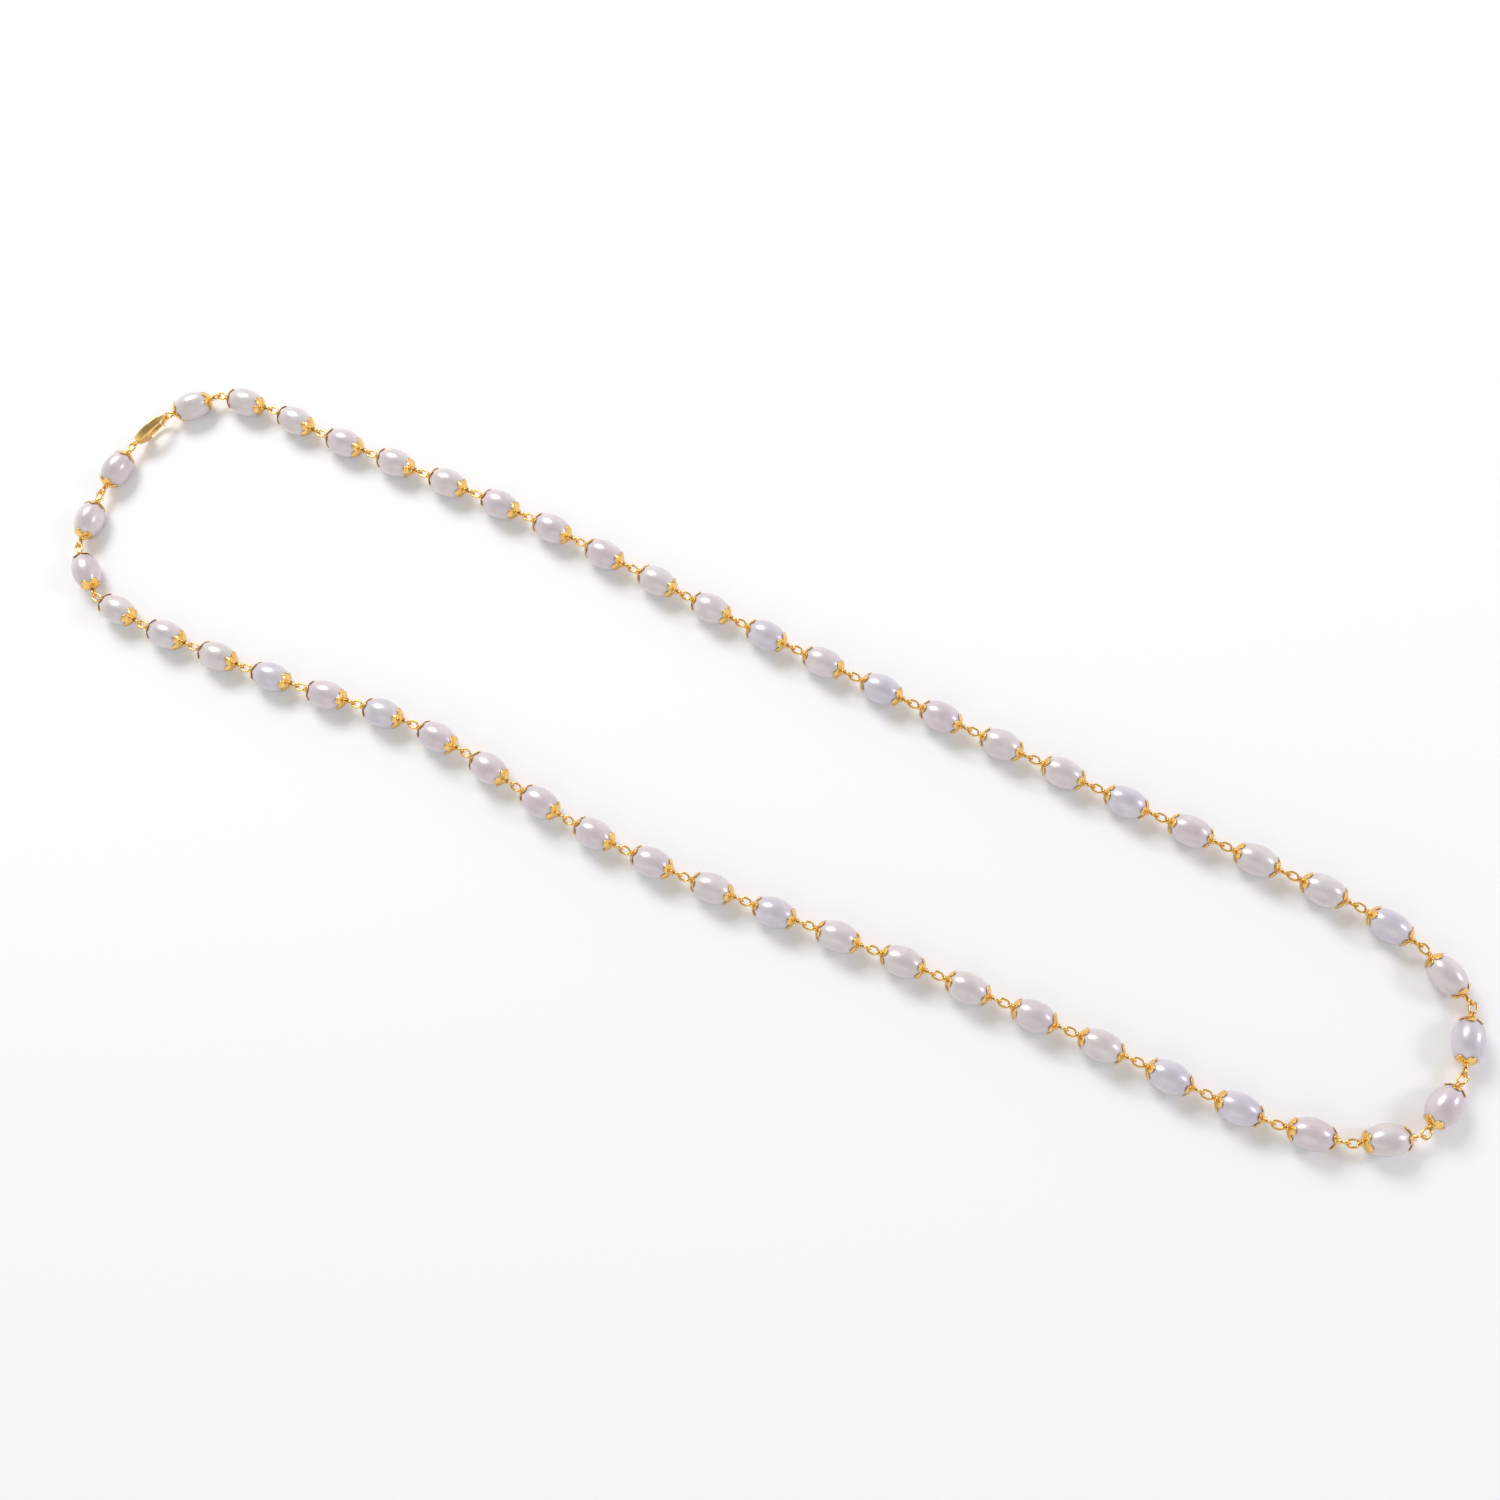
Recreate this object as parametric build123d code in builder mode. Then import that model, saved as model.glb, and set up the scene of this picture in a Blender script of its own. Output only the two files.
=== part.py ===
"""Long pearl necklace: fifty capped pearls on linked eye pins, closed by a lobster clasp.

Millimetres. +Z is up and the necklace lies on z = 0 as a long narrow loop. +X is the long
direction, towards the fold that lies opposite the clasp.

Every pearl link has its own local frame: local x runs along its eye pin, away from the fold,
and its centre is half a pitch from each pivot. The loop on its fold side stands on edge and
the loop on its far side lies flat, so each pair of neighbours hooks at right angles.
"""

import os
from math import atan2, degrees, hypot

from build123d import *

# Chain
PITCH = 18.0                    # from one pivot to the next along the chain
PEARL_COUNT = 50
FOLD_PEARL = 25                 # the pearl at the fold, which holds both arms of the chain

# Pearl
PEARL_LENGTH = 12.0
PEARL_DIAMETER = 8.0
PEARL_BORE = 0.8

# Eye pin
WIRE = 0.6
STEM = 0.54                     # the wire inside the pearl, a little drawn out
WIRE_GAP = 0.1                  # running clearance between two wires that hook together
UPRIGHT_HOLE = 0.6              # half the hole of a loop that stands on edge
FLAT_HOLE = 0.65                # half the hole of a loop that lies flat

# Bead cap
CAP_GAP = 0.05
CAP_WALL = 0.3
CAP_RIM_X = 4.5                 # where the petal tips end, from the pearl's middle
NECK_X = 6.65                   # where the neck ends
NECK_RADIUS = 0.9
NECK_BORE = 0.68
PETALS = 5
NOTCH_RADIUS = 0.7

# Clasp, in its own frame: x from the eye to the hook, z across its width
CLASP_LENGTH = 12.3             # the ring, without its eye
CLASP_WIDTH = 6.4
CLASP_THICKNESS = 2.4
CLASP_START = 1.6
OPENING_LENGTH = 7.0
OPENING_WIDTH = 3.8
HOOK_WALL = 1.0                 # the ring's wall at its far end
HOOK_THICKNESS = 0.9
HOOK_SLACK = 0.3                # from the hook to the loop that it holds
HOOK_THIN_FROM = 11.2           # where the ring thins down to the hook
EYE_RADIUS = 0.9
CLASP_LEAN = 20.0               # degrees from upright, with the eye's top edge inwards
EYE_LENGTH = 3.2
EDGE_ROUND = 0.4
GATE_WALL = 0.9
GATE_START = 5.9                # the gate's mouth, cut right through the ring
GATE_FLOOR = 1.2
SLOT_START = 3.9                # the slot that holds the lever's hub
SLOT_END = 10.8
SLOT_FLOOR = 0.9
LEVER_THICKNESS = 1.0
LEVER_LENGTH = 6.0
LEVER_END = 10.6
LEVER_SLOT = 0.15
PIVOT_X = 5.0
PIVOT_Z = 2.0
PIVOT_PIN = 0.8
PIVOT_GAP = 0.05
HUB_RADIUS = 0.85
KNOB_X = 4.9
KNOB_RADIUS = 0.55
KNOB_HEIGHT = 3.4

# Clasp spring, in its pocket behind the lever's hub
SPRING_START = 3.1
SPRING_LENGTH = 1.1
SPRING_Z = 1.4
SPRING_RADIUS = 0.28
SPRING_WIRE = 0.14
SPRING_TURNS = 4
POCKET_RADIUS = 0.45
POCKET_START = 2.95
POCKET_DEPTH = 1.2

# The line that the pivots lie on, chosen by hand and closed, from the fold round to the fold
ROUTE = [
    (208, 0),
    (204, 18),
    (186, 27),
    (150, 30),
    (60, 32),
    (-20, 35),
    (-100, 39),
    (-165, 38),
    (-189, 36),
    (-203, 18),
    (-205, -9),
    (-198, -31),
    (-165, -38),
    (-115, -35),
    (-75, -31),
    (-35, -36),
    (60, -34),
    (150, -31),
    (186, -28),
    (204, -18),
]

HOOK_X = CLASP_START + CLASP_LENGTH - HOOK_WALL / 2
CHAIN_HEIGHT = PEARL_DIAMETER / 2
FLAT_REACH = PITCH / 2 + WIRE + WIRE_GAP
UPRIGHT_REACH = PITCH / 2
CATCH_X = FLAT_REACH - WIRE / 2 - HOOK_SLACK - HOOK_WALL / 2


def route_line():
    """The closed curve through the route's points."""
    with BuildLine() as line:
        Spline(*ROUTE, periodic=True)
    return line.edges()[0]


def next_pivot(route, start, step):
    """The place on the route, as a fraction of its length, one pitch on from start."""
    here = route.position_at(start % 1)
    near = start
    far = start + step * 1.6
    for _ in range(40):
        middle = (near + far) / 2
        if (route.position_at(middle % 1) - here).length < PITCH:
            near = middle
        else:
            far = middle
    return (near + far) / 2


def pivots_along(route, start, links, sign):
    """The pivots of an arm of the chain, from its start outwards."""
    step = sign * PITCH / route.length
    marks = [start]
    for _ in range(links):
        marks.append(next_pivot(route, marks[-1], step))
    return marks


def between(inner, outer):
    """The local frame of a link that runs from its inner pivot to its outer one."""
    turn = degrees(atan2(outer.Y - inner.Y, outer.X - inner.X))
    middle = (inner + outer) / 2
    return Location((middle.X, middle.Y, CHAIN_HEIGHT), (0, 0, turn))


def chain_layout():
    """The frame of every pearl link, by number, and the frame of the clasp."""
    route = route_line()
    fold_marks = pivots_along(route, 0, 1, -1)
    first_arm = pivots_along(route, fold_marks[0], FOLD_PEARL - 1, 1)
    second_arm = pivots_along(route, fold_marks[1], PEARL_COUNT - FOLD_PEARL, -1)
    first = [route.position_at(mark % 1) for mark in first_arm]
    second = [route.position_at(mark % 1) for mark in second_arm]
    frames = {FOLD_PEARL: between(first[0], second[0])}
    for i in range(1, len(first)):
        frames[FOLD_PEARL - i] = between(first[i - 1], first[i])
    for i in range(1, len(second)):
        frames[FOLD_PEARL + i] = between(second[i - 1], second[i])
    catch = (frames[1] * Location((CATCH_X, 0, 0))).position
    eye = second[-1]
    turn = degrees(atan2(catch.Y - eye.Y, catch.X - eye.X))
    leaning = Location((0, 0, 0), (180 + CLASP_LEAN, 0, 0))
    clasp = Location((eye.X, eye.Y, CHAIN_HEIGHT), (0, 0, turn)) * leaning
    reach = hypot(catch.X - eye.X, catch.Y - eye.Y)
    return frames, clasp, reach


def make_pearl():
    """An oval pearl with a hole drilled along it."""
    with BuildPart() as pearl:
        with BuildSketch(Plane.XY):
            Ellipse(PEARL_LENGTH / 2, PEARL_DIAMETER / 2)
            Rectangle(PEARL_LENGTH, PEARL_BORE, mode=Mode.SUBTRACT)
            with Locations((0, -PEARL_DIAMETER / 2)):
                Rectangle(PEARL_LENGTH, PEARL_DIAMETER, mode=Mode.SUBTRACT)
        revolve(axis=Axis.X)
    return pearl.part


def make_cap():
    """A bead cap over the pearl's +x end: a neck that flares into petals."""
    inner_x = PEARL_LENGTH / 2 + CAP_GAP
    inner_r = PEARL_DIAMETER / 2 + CAP_GAP
    with BuildPart() as cap:
        with BuildSketch(Plane.XY):
            Ellipse(inner_x + CAP_WALL, inner_r + CAP_WALL)
            with Locations((NECK_X / 2, 0)):
                Rectangle(NECK_X, 2 * NECK_RADIUS)
            Ellipse(inner_x, inner_r, mode=Mode.SUBTRACT)
            with Locations((CAP_RIM_X - PEARL_LENGTH, 0)):
                Rectangle(2 * PEARL_LENGTH, 3 * PEARL_DIAMETER, mode=Mode.SUBTRACT)
            with Locations((NECK_X / 2, -PEARL_DIAMETER)):
                Rectangle(2 * NECK_X, 2 * PEARL_DIAMETER + NECK_BORE, mode=Mode.SUBTRACT)
        revolve(axis=Axis.X)
        with Locations(Plane.YZ.offset(CAP_RIM_X)):
            with PolarLocations(0, PETALS):
                Cylinder(NOTCH_RADIUS, PEARL_DIAMETER, rotation=(0, 90, 0),
                         align=(Align.CENTER, Align.CENTER, Align.MIN), mode=Mode.SUBTRACT)
    return cap.part


def make_loop(reach, hole, plane):
    """An eye at the wire's end: a long round-wired loop in the given plane, out to reach."""
    radius = hole + WIRE / 2
    neck = NECK_X + WIRE / 2
    with BuildPart() as loop:
        with BuildLine(plane) as path:
            Line((neck + radius, radius), (reach - radius, radius))
            TangentArc((reach - radius, radius), (reach - radius, -radius), tangent=(1, 0))
            Line((reach - radius, -radius), (neck + radius, -radius))
            TangentArc((neck + radius, -radius), (neck + radius, radius), tangent=(-1, 0))
        with BuildSketch(Plane(path.line @ 0, z_dir=path.line % 0)):
            Circle(WIRE / 2)
        sweep(path=path.wires()[0])
    return loop.part


def make_pin(inner_is_flat):
    """An eye pin through the pearl and both caps, with a loop at each end."""
    outer_loop = make_loop(FLAT_REACH, FLAT_HOLE, Plane.XY)
    if inner_is_flat:
        inner_loop = outer_loop
    else:
        inner_loop = make_loop(UPRIGHT_REACH, UPRIGHT_HOLE, Plane.XZ)
    with BuildPart() as pin:
        Cylinder(STEM / 2, 2 * NECK_X + WIRE, rotation=(0, 90, 0))
        add(outer_loop)
        add(inner_loop, rotation=(0, 0, 180))
    return pin.part


def make_link(inner_is_flat=False):
    """One link of the chain: the pearl, its two caps and its eye pin, as separate solids."""
    cap = make_cap()
    pieces = [make_pearl(), cap, cap.rotate(Axis.Z, 180), make_pin(inner_is_flat)]
    return Compound(children=pieces)


def make_clasp_body():
    """The clasp's fixed half: the eye, the ring with its gate cut away, and the thin hook."""
    ring_middle = CLASP_START + CLASP_LENGTH / 2
    opening_middle = CLASP_START + CLASP_LENGTH - HOOK_WALL - OPENING_LENGTH / 2
    with BuildPart() as body:
        with BuildSketch(Plane.XZ):
            with Locations((ring_middle, 0)):
                Ellipse(CLASP_LENGTH / 2, CLASP_WIDTH / 2)
            with Locations((opening_middle, 0)):
                Ellipse(OPENING_LENGTH / 2, OPENING_WIDTH / 2, mode=Mode.SUBTRACT)
        extrude(amount=CLASP_THICKNESS / 2, both=True)
        fillet(body.faces().filter_by(Axis.Y).edges(), EDGE_ROUND)
        thin_side = (CLASP_THICKNESS - HOOK_THICKNESS) / 2
        for side in (-1, 1):
            with Locations((HOOK_THIN_FROM, side * CLASP_THICKNESS / 2, 0)):
                Box(CLASP_LENGTH, 2 * thin_side, 2 * CLASP_WIDTH,
                    align=(Align.MIN, Align.CENTER, Align.CENTER), mode=Mode.SUBTRACT)
        gate_middle = (SLOT_START + SLOT_END) / 2
        with Locations((gate_middle, 0, SLOT_FLOOR)):
            Box(SLOT_END - SLOT_START, LEVER_THICKNESS + 2 * LEVER_SLOT, CLASP_WIDTH,
                align=(Align.CENTER, Align.CENTER, Align.MIN), mode=Mode.SUBTRACT)
        with Locations((GATE_START, 0, GATE_FLOOR)):
            Box(SLOT_END - GATE_START, 2 * CLASP_THICKNESS, CLASP_WIDTH,
                align=(Align.MIN, Align.CENTER, Align.MIN), mode=Mode.SUBTRACT)
        with Locations((PIVOT_X, 0, PIVOT_Z)):
            Cylinder(PIVOT_PIN / 2 + PIVOT_GAP, 2 * CLASP_THICKNESS, rotation=(90, 0, 0),
                     mode=Mode.SUBTRACT)
        with Locations((POCKET_START, 0, SPRING_Z)):
            Cylinder(POCKET_RADIUS, POCKET_DEPTH, rotation=(0, 90, 0),
                     align=(Align.CENTER, Align.CENTER, Align.MIN), mode=Mode.SUBTRACT)
        add(make_eye())
    return body.part


def make_eye():
    """The clasp's own eye, a round-wired loop whose end stands on the clasp's origin."""
    start = EYE_RADIUS
    end = EYE_LENGTH
    with BuildPart() as eye:
        with BuildLine(Plane.XZ) as path:
            Line((end, EYE_RADIUS), (start, EYE_RADIUS))
            TangentArc((start, EYE_RADIUS), (start, -EYE_RADIUS), tangent=(-1, 0))
            Line((start, -EYE_RADIUS), (end, -EYE_RADIUS))
        with BuildSketch(Plane(path.line @ 0, z_dir=path.line % 0)):
            Circle(WIRE / 2)
        sweep(path=path.wires()[0])
    return eye.part


def make_clasp_lever():
    """The gate: a bar along the ring's open side, with its hub and its thumb knob."""
    ring_middle = CLASP_START + CLASP_LENGTH / 2
    with BuildPart() as lever:
        with BuildSketch(Plane.XZ):
            with Locations((ring_middle, 0)):
                Ellipse(CLASP_LENGTH / 2, CLASP_WIDTH / 2)
                Ellipse(CLASP_LENGTH / 2 - GATE_WALL, CLASP_WIDTH / 2 - GATE_WALL, mode=Mode.SUBTRACT)
            with Locations((LEVER_END - LEVER_LENGTH / 2, CLASP_WIDTH / 2)):
                Rectangle(LEVER_LENGTH, CLASP_WIDTH, mode=Mode.INTERSECT)
            with Locations((PIVOT_X, PIVOT_Z)):
                Circle(HUB_RADIUS)
            with BuildLine():
                Polyline((PIVOT_X - HUB_RADIUS, PIVOT_Z), (PIVOT_X + HUB_RADIUS, PIVOT_Z),
                         (KNOB_X + KNOB_RADIUS, KNOB_HEIGHT), (KNOB_X - KNOB_RADIUS, KNOB_HEIGHT),
                         close=True)
            make_face()
            with Locations((KNOB_X, KNOB_HEIGHT)):
                Circle(KNOB_RADIUS)
        extrude(amount=LEVER_THICKNESS / 2, both=True)
        with Locations((PIVOT_X, 0, PIVOT_Z)):
            Cylinder(PIVOT_PIN / 2 + PIVOT_GAP, 2 * CLASP_THICKNESS, rotation=(90, 0, 0),
                     mode=Mode.SUBTRACT)
    return lever.part


def make_clasp_pin():
    """The rivet that the lever turns on."""
    with BuildPart() as pin:
        with Locations((PIVOT_X, 0, PIVOT_Z)):
            Cylinder(PIVOT_PIN / 2, CLASP_THICKNESS, rotation=(90, 0, 0))
    return pin.part


def make_clasp_spring():
    """The small coil that holds the lever shut."""
    with BuildPart() as spring:
        with BuildLine() as path:
            Helix(SPRING_LENGTH / SPRING_TURNS, SPRING_LENGTH, SPRING_RADIUS,
                  center=(SPRING_START, 0, SPRING_Z), direction=(1, 0, 0))
        with BuildSketch(Plane(path.line @ 0, z_dir=path.line % 0)):
            Circle(SPRING_WIRE / 2)
        sweep(path=path.wires()[0], is_frenet=True)
    return spring.part


def write_node(name, shape, frame):
    """Put a finished piece in its place and write it as a node."""
    with BuildPart() as node:
        with Locations(frame):
            add(shape)
    node.part.label = name
    export_step(node.part, f"parts/{name}.step")
    return node.part


def main():
    os.makedirs("parts", exist_ok=True)
    frames, clasp, reach = chain_layout()
    print(f"clasp reach {reach:.2f}, hook at {HOOK_X:.2f}")
    link = make_link()
    fold_link = make_link(inner_is_flat=True)
    for number in range(1, PEARL_COUNT + 1):
        shape = fold_link if number == FOLD_PEARL else link
        write_node(f"pearl_link_{number:02d}", shape, frames[number])
    write_node("clasp_body", make_clasp_body(), clasp)
    write_node("clasp_lever", make_clasp_lever(), clasp)
    write_node("clasp_pivot_pin", make_clasp_pin(), clasp)
    write_node("clasp_spring", make_clasp_spring(), clasp)


if __name__ == "__main__":
    main()
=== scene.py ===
"""Looks for the pearl necklace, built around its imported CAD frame. Lengths are in metres."""

import random
from math import cos, pi, radians, sin, sqrt

import bpy
import numpy as np
from mathutils import Matrix, Vector


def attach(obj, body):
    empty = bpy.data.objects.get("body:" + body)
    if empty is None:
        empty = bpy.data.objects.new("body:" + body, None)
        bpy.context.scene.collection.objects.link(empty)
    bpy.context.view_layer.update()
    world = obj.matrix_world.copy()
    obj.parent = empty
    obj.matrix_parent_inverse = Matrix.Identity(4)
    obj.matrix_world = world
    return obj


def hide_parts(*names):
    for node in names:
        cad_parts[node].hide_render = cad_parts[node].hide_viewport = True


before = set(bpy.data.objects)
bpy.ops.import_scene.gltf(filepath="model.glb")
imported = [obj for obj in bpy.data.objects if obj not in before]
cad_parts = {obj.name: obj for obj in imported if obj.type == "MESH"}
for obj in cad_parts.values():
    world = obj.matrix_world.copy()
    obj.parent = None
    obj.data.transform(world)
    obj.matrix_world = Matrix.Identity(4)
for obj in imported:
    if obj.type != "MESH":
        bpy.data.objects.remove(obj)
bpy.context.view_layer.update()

MM = 0.001
SEED = 11

# Sizes of a pearl link, as in its CAD node
PEARL_HALF_LENGTH = 6.0 * MM
PEARL_RADIUS = 4.0 * MM
BORE_RADIUS = 0.4 * MM
WIRE_RADIUS = 0.3 * MM
NECK_X = 6.65 * MM
FLAT_REACH = 9.7 * MM           # the flat loop's end wire, from the pearl's middle
UPRIGHT_REACH = 9.0 * MM
FLAT_RADIUS = 0.95 * MM         # the middle of the wire, round the loop's end
UPRIGHT_RADIUS = 0.9 * MM

# Bead cap
PETALS = 5
PETAL_TIP_X = 4.45 * MM
PETAL_VALLEY_X = 5.4 * MM
CAP_OFFSET = 0.10 * MM          # from the pearl to the middle of the metal
CAP_THICKNESS = 0.16 * MM
PETAL_LIFT = 0.18 * MM          # how proud the petal tips stand
PETAL_DOME = 0.16 * MM
NECK_FLARE = 0.85 * MM
NECK_WAIST = 0.62 * MM
NECK_PART = 0.3                 # the share of the profile that is neck
SHOULDER_X = 6.02 * MM
PETAL_COLUMNS = 14              # points round each petal
PROFILE_STEPS = 12

# Pearl and wire meshes
PEARL_ROWS = 34
PEARL_COLUMNS = 40
WIRE_SIDES = 12
WIRE_END_DOME = 0.6             # how far a wire's end is domed, in wire radii
EYE_ARC_STEPS = 12
STEM_PLACES = (5.6, 6.2, 6.6)   # along the pin, before the eye, in millimetres
EYE_START_TURN = 0.12           # radians round the arc, where the wire leaves the stem
EYE_END_GAP = 0.35              # radians left open before the stem

# Camera: the photograph's viewing angle
CAMERA_PLACE = Vector((0.098, -0.0925, 0.394))
CAMERA_AIM = Vector((0.0106, 0.0019, 0.004))
CAMERA_ROLL = radians(17.3)
CAMERA_LENS = 36.0
CAMERA_SENSOR = 36.0

# The sky's brightness, low down and overhead
SKY_LOW = 0.95
SKY_HIGH = 0.35
SKY_FADE_FROM = 0.25            # as the height of a direction, 0 level and 1 straight up
SKY_FADE_TO = 0.95

# Lights, all aimed at the middle: name, place, size, power and colour
LIGHTS = (
    ("key", (-0.75, 0.55, 0.9), (0.62, 0.46), 8.5, (1, 1, 1)),
    ("right", (0.85, 0.45, 0.6), (0.26, 0.2), 2.4, (0.84, 0.76, 1)),
    ("fill", (0.2, -1.0, 0.9), (1.2, 0.8), 1.2, (1, 0.98, 0.96)),
)

FLOOR_SIZE = 6


# Materials ---------------------------------------------------------------------------------

def new_material(name):
    """A node material, and its shader, nodes and links."""
    material = bpy.data.materials.new(name)
    material.use_nodes = True
    nodes = material.node_tree.nodes
    return material, nodes["Principled BSDF"], nodes, material.node_tree.links


def noise(nodes, links, scale, detail):
    """A noise texture in the object's own coordinates."""
    place = nodes.new("ShaderNodeTexCoord")
    texture = nodes.new("ShaderNodeTexNoise")
    texture.inputs["Scale"].default_value = scale
    texture.inputs["Detail"].default_value = detail
    links.new(place.outputs["Object"], texture.inputs["Vector"])
    return texture


def ramp(nodes, links, texture, low, high, start=0.3, end=0.7):
    """The texture's values as a blend from one colour to another."""
    colours = nodes.new("ShaderNodeValToRGB")
    colours.color_ramp.elements[0].position = start
    colours.color_ramp.elements[0].color = (*low, 1)
    colours.color_ramp.elements[1].position = end
    colours.color_ramp.elements[1].color = (*high, 1)
    links.new(texture.outputs["Fac"], colours.inputs["Fac"])
    return colours


def bump(nodes, links, texture, shader, strength, distance):
    """Fine relief from a texture."""
    relief = nodes.new("ShaderNodeBump")
    relief.inputs["Strength"].default_value = strength
    relief.inputs["Distance"].default_value = distance
    links.new(texture.outputs["Fac"], relief.inputs["Height"])
    links.new(relief.outputs["Normal"], shader.inputs["Normal"])


def pearl_material(name, cool, warm):
    """Imitation nacre: a soft off-white body under a clear coat, with a faint film colour."""
    material, shader, nodes, links = new_material(name)
    cloud = noise(nodes, links, 220.0, 2.0)
    tint = ramp(nodes, links, cloud, cool, warm)
    links.new(tint.outputs["Color"], shader.inputs["Base Color"])
    shader.inputs["Roughness"].default_value = 0.30
    shader.inputs["Metallic"].default_value = 0.25
    shader.inputs["Coat Weight"].default_value = 0.7
    shader.inputs["Coat Roughness"].default_value = 0.2
    shader.inputs["Thin Film Thickness"].default_value = 330.0
    shader.inputs["Thin Film IOR"].default_value = 1.45
    bump(nodes, links, noise(nodes, links, 700.0, 3.0), shader, 0.05, 0.00003)
    return material


def gold_material(name, low, high, roughness):
    """Polished plating, a little uneven in colour and surface."""
    material, shader, nodes, links = new_material(name)
    cloud = noise(nodes, links, 900.0, 3.0)
    tint = ramp(nodes, links, cloud, low, high)
    links.new(tint.outputs["Color"], shader.inputs["Base Color"])
    shader.inputs["Metallic"].default_value = 1.0
    shader.inputs["Roughness"].default_value = roughness
    bump(nodes, links, noise(nodes, links, 2500.0, 4.0), shader, 0.12, 0.00002)
    return material


# Mesh helpers ------------------------------------------------------------------------------

def mesh_from(name, points, faces, material):
    """A smooth mesh with one material."""
    mesh = bpy.data.meshes.new(name)
    mesh.from_pydata([tuple(p) for p in points], [], faces)
    mesh.materials.append(material)
    mesh.polygons.foreach_set("use_smooth", [True] * len(mesh.polygons))
    mesh.update()
    return mesh


def grid_faces(rows, columns, close_columns, close_rows=False):
    """Quads over rows of points, joined round where asked."""
    faces = []
    for i in range(rows if close_rows else rows - 1):
        for j in range(columns if close_columns else columns - 1):
            a = i * columns + j
            b = i * columns + (j + 1) % columns
            c = ((i + 1) % rows) * columns + (j + 1) % columns
            d = ((i + 1) % rows) * columns + j
            faces.append((a, d, c, b))
    return faces


def pearl_mesh(name, material):
    """The oval, turned in, at each end, into its drilled hole."""
    start = BORE_RADIUS / PEARL_RADIUS
    points = []
    for i in range(PEARL_ROWS):
        angle = start + (pi - 2 * start) * i / (PEARL_ROWS - 1)
        x = PEARL_HALF_LENGTH * cos(angle)
        r = PEARL_RADIUS * sin(angle)
        for j in range(PEARL_COLUMNS):
            turn = 2 * pi * j / PEARL_COLUMNS
            points.append((x, r * cos(turn), r * sin(turn)))
    faces = grid_faces(PEARL_ROWS, PEARL_COLUMNS, True, close_rows=True)
    return mesh_from(name, points, faces, material)


def cap_mesh(name, material):
    """A petal cap as a closed shell: the outside from neck to rim, then the inside back."""
    columns = PETALS * PETAL_COLUMNS
    half = CAP_THICKNESS / 2
    outside = [[] for _ in range(PROFILE_STEPS)]
    inside = [[] for _ in range(PROFILE_STEPS)]
    for j in range(columns):
        turn = 2 * pi * j / columns
        petal = abs(cos(PETALS * turn / 2))
        edge_x = PETAL_VALLEY_X + (PETAL_TIP_X - PETAL_VALLEY_X) * petal ** 0.7
        for i in range(PROFILE_STEPS):
            t = i / (PROFILE_STEPS - 1)
            x, r = cap_profile(t, edge_x, petal)
            outside[i].append((x, (r + half) * cos(turn), (r + half) * sin(turn)))
            inside[i].append((x, (r - half) * cos(turn), (r - half) * sin(turn)))
    rings = outside + inside[::-1]
    points = [p for ring in rings for p in ring]
    faces = grid_faces(len(rings), columns, True, close_rows=True)
    return mesh_from(name, points, faces, material)


def cap_profile(t, edge_x, petal):
    """Where the metal lies, from the neck's end at t = 0 to the rim at t = 1."""
    if t < NECK_PART:
        s = t / NECK_PART
        x = NECK_X + (SHOULDER_X - NECK_X) * s
        r = NECK_FLARE + (NECK_WAIST - NECK_FLARE) * sin(pi * s / 2)
        return x, r
    s = (t - NECK_PART) / (1 - NECK_PART)
    x = SHOULDER_X + (edge_x - SHOULDER_X) * s
    gap = CAP_OFFSET + CAP_THICKNESS / 2
    along = min(x / (PEARL_HALF_LENGTH + gap), 0.999)
    r = (PEARL_RADIUS + gap) * sqrt(1 - along * along)
    r = max(r, NECK_WAIST)
    r += PETAL_LIFT * petal * s ** 3 + PETAL_DOME * petal * sin(pi * min(s, 0.9))
    return x, r


def tube_mesh(name, path, radius, material):
    """A round wire along a path, with rounded ends."""
    points = []
    count = len(path)
    for i, here in enumerate(path):
        before = path[max(i - 1, 0)]
        after = path[min(i + 1, count - 1)]
        tangent = (after - before).normalized()
        side = tangent.cross(path_normal(path)).normalized()
        up = side.cross(tangent).normalized()
        for j in range(WIRE_SIDES):
            turn = 2 * pi * j / WIRE_SIDES
            points.append(here + radius * (cos(turn) * side + sin(turn) * up))
    faces = grid_faces(count, WIRE_SIDES, True)
    for end, sign in ((0, -1), (count - 1, 1)):
        tip = len(points)
        direction = (path[end] - path[end - sign]).normalized()
        points.append(path[end] + direction * radius * WIRE_END_DOME)
        for j in range(WIRE_SIDES):
            a = end * WIRE_SIDES + j
            b = end * WIRE_SIDES + (j + 1) % WIRE_SIDES
            faces.append((a, b, tip) if sign > 0 else (b, a, tip))
    return mesh_from(name, points, faces, material)


def path_normal(path):
    """The direction square to a flat path."""
    middle = path[len(path) // 2]
    normal = (path[0] - middle).cross(path[-1] - middle)
    if normal.length < 1e-12:
        return Vector((0, 0, 1))
    return normal.normalized()


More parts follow.
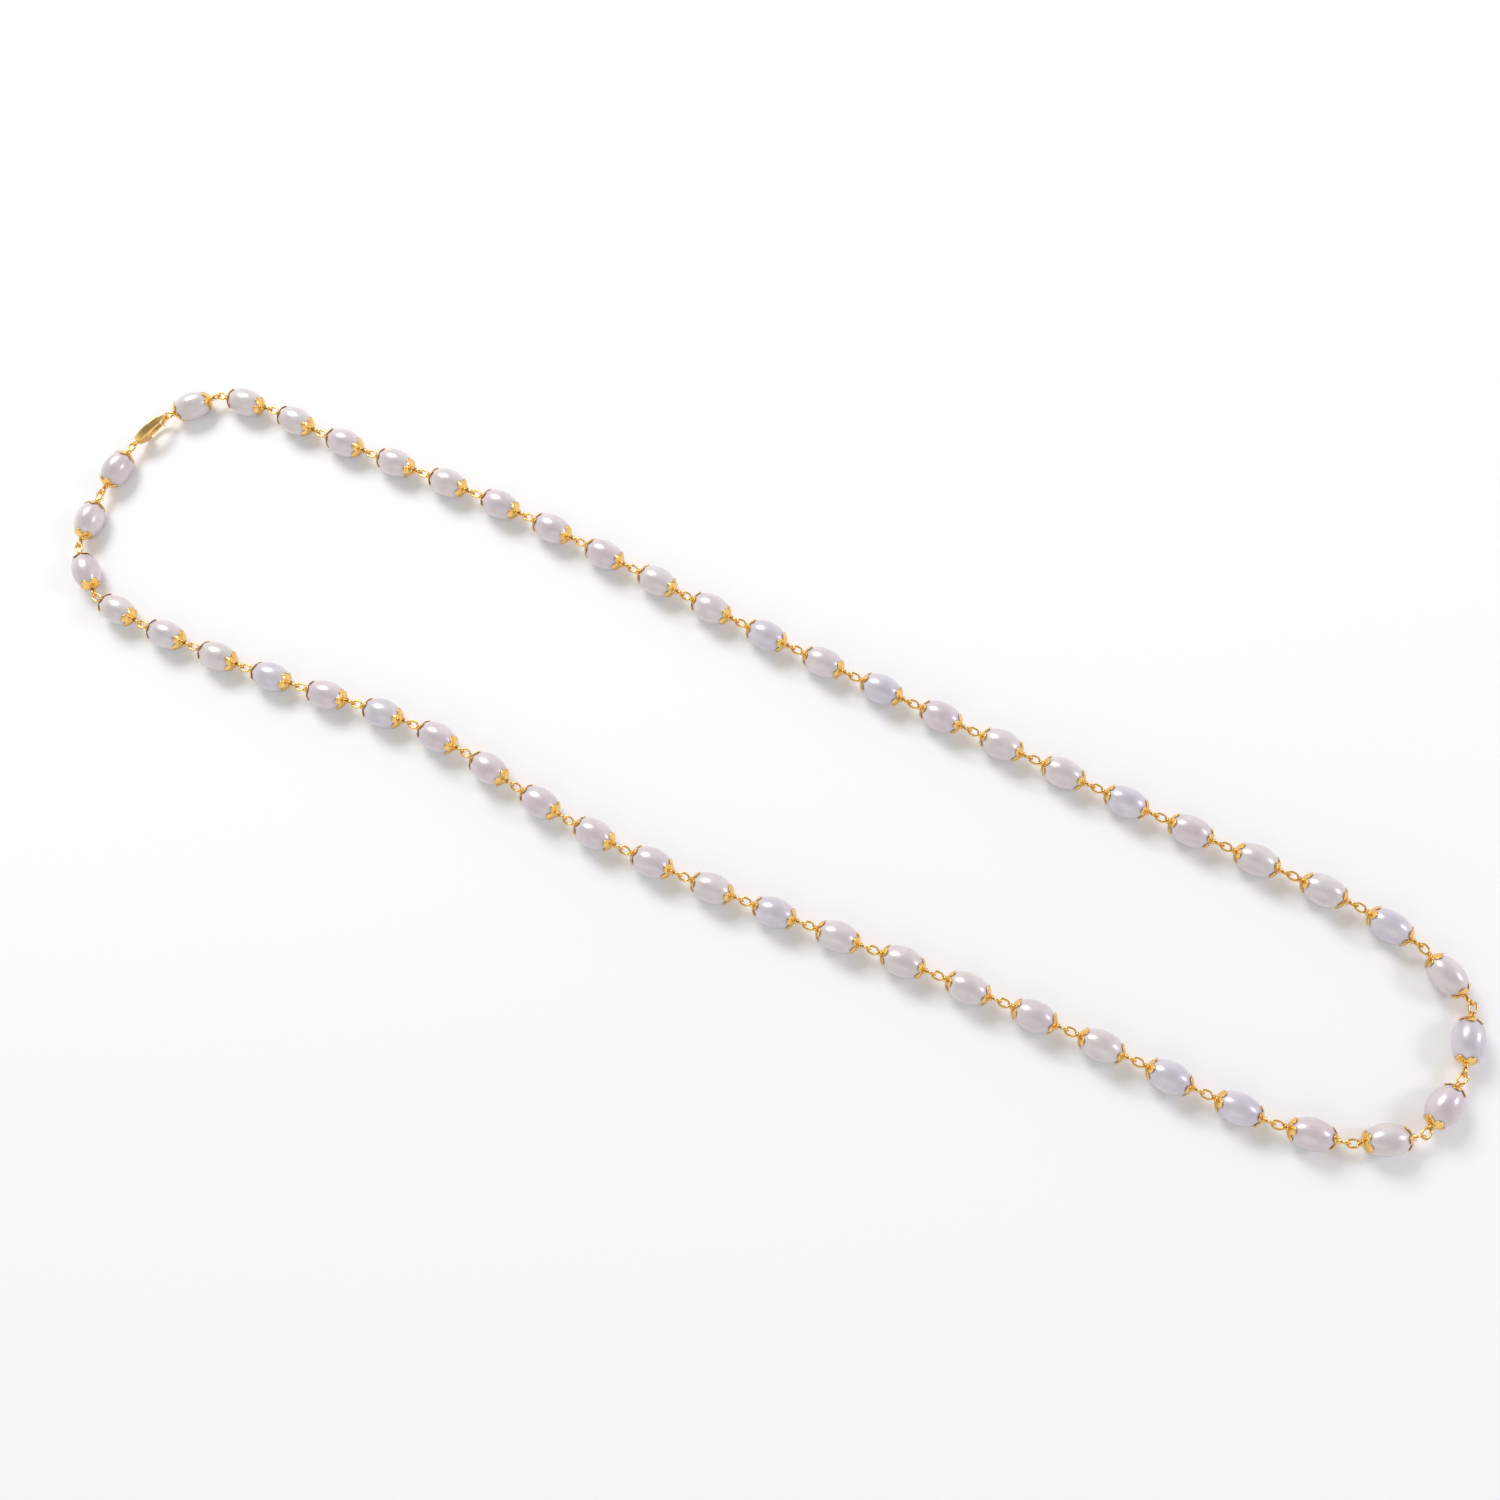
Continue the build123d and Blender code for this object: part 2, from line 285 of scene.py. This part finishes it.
def eye_path(reach, radius, upright):
    """A pin's end: out of the neck, round the long eye, and back almost to the neck."""
    neck = NECK_X + WIRE_RADIUS
    points = [Vector((x * MM, 0, 0)) for x in STEM_PLACES]
    far = reach - radius
    near = neck + radius
    for i in range(EYE_ARC_STEPS):
        share = i / (EYE_ARC_STEPS - 1)
        angle = pi - EYE_START_TURN - (pi / 2 - EYE_START_TURN) * share
        points.append(Vector((near + radius * cos(angle), radius * sin(angle), 0)))
    for i in range(2 * EYE_ARC_STEPS):
        angle = pi / 2 - pi * i / (2 * EYE_ARC_STEPS - 1)
        points.append(Vector((far + radius * cos(angle), radius * sin(angle), 0)))
    for i in range(EYE_ARC_STEPS - 1):
        angle = -pi / 2 - (pi / 2 - EYE_END_GAP) * i / (EYE_ARC_STEPS - 2)
        points.append(Vector((near + radius * cos(angle), radius * sin(angle), 0)))
    if upright:
        return [Vector((p.x, 0, p.y)) for p in points]
    return points


def eye_mesh(name, reach, radius, upright, material):
    """One eye of a pin."""
    return tube_mesh(name, eye_path(reach, radius, upright), WIRE_RADIUS, material)


# The frame of each link --------------------------------------------------------------------

def link_frame(node):
    """A link's own frame, read from its CAD node: x along the pin, towards its flat loop."""
    vertices = node.data.vertices
    points = np.empty(len(vertices) * 3)
    vertices.foreach_get("co", points)
    points = points.reshape(-1, 3)
    flat = points[:, :2] - points[:, :2].mean(0)
    _, _, axes = np.linalg.svd(flat, full_matrices=False)
    along = axes[0]
    reach = points[:, :2] @ along
    across = points[:, :2] @ np.array([-along[1], along[0]])
    end_width = {}
    for sign in (-1, 1):
        ends = (reach * sign) > (reach * sign).max() - 0.8 * MM
        end_width[sign] = np.ptp(across[ends])
    if end_width[-1] > end_width[1] * 1.3:
        along = -along
        reach = -reach
        across = -across
    both_flat = min(end_width.values()) > FLAT_RADIUS
    lead = 0 if both_flat else (FLAT_REACH - UPRIGHT_REACH) / 2
    middle = (reach.max() + reach.min()) / 2 - lead
    side = (across.max() + across.min()) / 2
    place = middle * along + side * np.array([-along[1], along[0]])
    height = (points[:, 2].max() + points[:, 2].min()) / 2
    matrix = Matrix((
        (along[0], -along[1], 0, place[0]),
        (along[1], along[0], 0, place[1]),
        (0, 0, 1, height),
        (0, 0, 0, 1),
    ))
    return matrix, both_flat


def put(name, mesh, matrix, body):
    """A piece in its place, riding on its body."""
    piece = bpy.data.objects.new(name, mesh)
    bpy.context.scene.collection.objects.link(piece)
    piece.matrix_world = matrix
    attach(piece, body)
    return piece


# The necklace ------------------------------------------------------------------------------

def build_links(pearls, gold):
    """Every pearl link: the pearl, its two caps and its pin's two eyes."""
    draw = random.Random(SEED)
    pearl_meshes = [pearl_mesh(f"pearl_{i}", m) for i, m in enumerate(pearls)]
    cap = cap_mesh("cap", gold)
    flat_eye = eye_mesh("flat_eye", FLAT_REACH, FLAT_RADIUS, False, gold)
    upright_eye = eye_mesh("upright_eye", UPRIGHT_REACH, UPRIGHT_RADIUS, True, gold)
    half_turn = Matrix.Rotation(pi, 4, "Z")
    for name in sorted(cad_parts):
        if not name.startswith("pearl_link_"):
            continue
        number = name[-2:]
        matrix, both_flat = link_frame(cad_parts[name])
        spin = Matrix.Rotation(draw.uniform(0, 2 * pi), 4, "X")
        pearl = put(f"pearl_{number}", draw.choice(pearl_meshes), matrix @ spin, name)
        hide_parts(name)
        for end, turned in (("outer", Matrix.Identity(4)), ("inner", half_turn)):
            spin = Matrix.Rotation(draw.uniform(0, 2 * pi), 4, "X")
            put(f"cap_{end}_{number}", cap, matrix @ turned @ spin, name)
        put(f"eye_outer_{number}", flat_eye, matrix, name)
        inner = flat_eye if both_flat else upright_eye
        put(f"eye_inner_{number}", inner, matrix @ half_turn, name)


def dress_clasp(gold, dark_gold):
    """The clasp's CAD nodes keep their shape and get the gold."""
    for name in ("clasp_body", "clasp_lever", "clasp_pivot_pin", "clasp_spring"):
        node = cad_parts[name]
        node.data.materials.clear()
        node.data.materials.append(dark_gold if name == "clasp_spring" else gold)


# Stage -------------------------------------------------------------------------------------

def make_floor():
    """A plain pale floor."""
    bpy.ops.mesh.primitive_plane_add(size=FLOOR_SIZE, location=(0, 0, 0))
    floor = bpy.context.object
    floor.name = "floor"
    material, shader, _, _ = new_material("floor")
    shader.inputs["Base Color"].default_value = (0.95, 0.95, 0.95, 1)
    shader.inputs["Roughness"].default_value = 0.9
    shader.inputs["Specular IOR Level"].default_value = 0.1
    floor.data.materials.append(material)


def area_light(name, place, size, power, colour):
    """A soft box, aimed at the middle."""
    light = bpy.data.lights.new(name, "AREA")
    light.shape = "RECTANGLE"
    light.size = size[0]
    light.size_y = size[1]
    light.energy = power
    light.color = colour
    lamp = bpy.data.objects.new(name, light)
    bpy.context.scene.collection.objects.link(lamp)
    lamp.location = place
    lamp.rotation_euler = (-Vector(place)).to_track_quat("-Z", "Y").to_euler()


def make_lights():
    """A broad key from the upper left, a violet light, a fill, and a sky darker overhead."""
    for light in LIGHTS:
        area_light(*light)
    bpy.context.scene.view_settings.view_transform = "Standard"
    world = bpy.data.worlds.new("sky")
    world.use_nodes = True
    nodes = world.node_tree.nodes
    links = world.node_tree.links
    place = nodes.new("ShaderNodeTexCoord")
    parts = nodes.new("ShaderNodeSeparateXYZ")
    height = nodes.new("ShaderNodeMapRange")
    height.inputs["From Min"].default_value = SKY_FADE_FROM
    height.inputs["From Max"].default_value = SKY_FADE_TO
    height.inputs["To Min"].default_value = SKY_LOW
    height.inputs["To Max"].default_value = SKY_HIGH
    links.new(place.outputs["Generated"], parts.inputs["Vector"])
    links.new(parts.outputs["Z"], height.inputs["Value"])
    links.new(height.outputs["Result"], nodes["Background"].inputs["Strength"])
    nodes["Background"].inputs["Color"].default_value = (1, 1, 1, 1)
    bpy.context.scene.world = world


def make_camera():
    """The camera, at the photograph's viewing angle."""
    data = bpy.data.cameras.new("camera")
    data.lens = CAMERA_LENS
    data.sensor_width = CAMERA_SENSOR
    camera = bpy.data.objects.new("camera", data)
    bpy.context.scene.collection.objects.link(camera)
    look = (CAMERA_AIM - CAMERA_PLACE).normalized()
    level = look.cross(Vector((0, 0, 1))).normalized()
    upright = level.cross(look)
    up = cos(CAMERA_ROLL) * upright + sin(CAMERA_ROLL) * level
    right = look.cross(up)
    turn = Matrix((right, up, -look)).transposed().to_4x4()
    camera.matrix_world = Matrix.Translation(CAMERA_PLACE) @ turn
    bpy.context.scene.camera = camera


make_camera()
make_floor()
make_lights()
pearls = [
    pearl_material("pearl_rose", (0.60, 0.52, 0.55), (0.70, 0.63, 0.64)),
    pearl_material("pearl_lilac", (0.57, 0.52, 0.58), (0.68, 0.63, 0.67)),
    pearl_material("pearl_cream", (0.62, 0.55, 0.54), (0.71, 0.66, 0.63)),
]
gold = gold_material("gold", (0.80, 0.46, 0.12), (0.95, 0.66, 0.24), 0.17)
dark_gold = gold_material("spring_gold", (0.62, 0.40, 0.16), (0.80, 0.56, 0.26), 0.30)
build_links(pearls, gold)
dress_clasp(gold, dark_gold)
